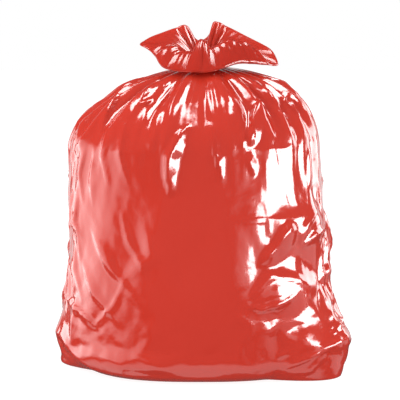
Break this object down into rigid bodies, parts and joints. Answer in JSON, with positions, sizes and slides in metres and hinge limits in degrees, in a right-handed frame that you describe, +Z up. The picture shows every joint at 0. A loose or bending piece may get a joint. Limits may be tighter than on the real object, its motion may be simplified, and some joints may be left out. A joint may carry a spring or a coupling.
{
  "type": "garbage bag",
  "caption": "Filled garbage bag of glossy red plastic film, standing upright, neck gathered and tied, mouth flared into ruffled wings.",
  "frame": {"origin": "on the floor, under the middle of the bag's bounding box", "axes": "+Z up, the pictured front faces -Y, +X to the right in the picture"},
  "size_m": [0.5028, 0.356, 0.5859],
  "materials": {
    "bag_film": "glossy red polyethylene film, wrinkled, slightly see-through where single",
    "tie_film": "folded strip of the same red film, satin"
  },
  "bodies": {
    "root": {"bag": "bag_film", "tie_strip": "tie_film"}
  },
  "joints": []
}
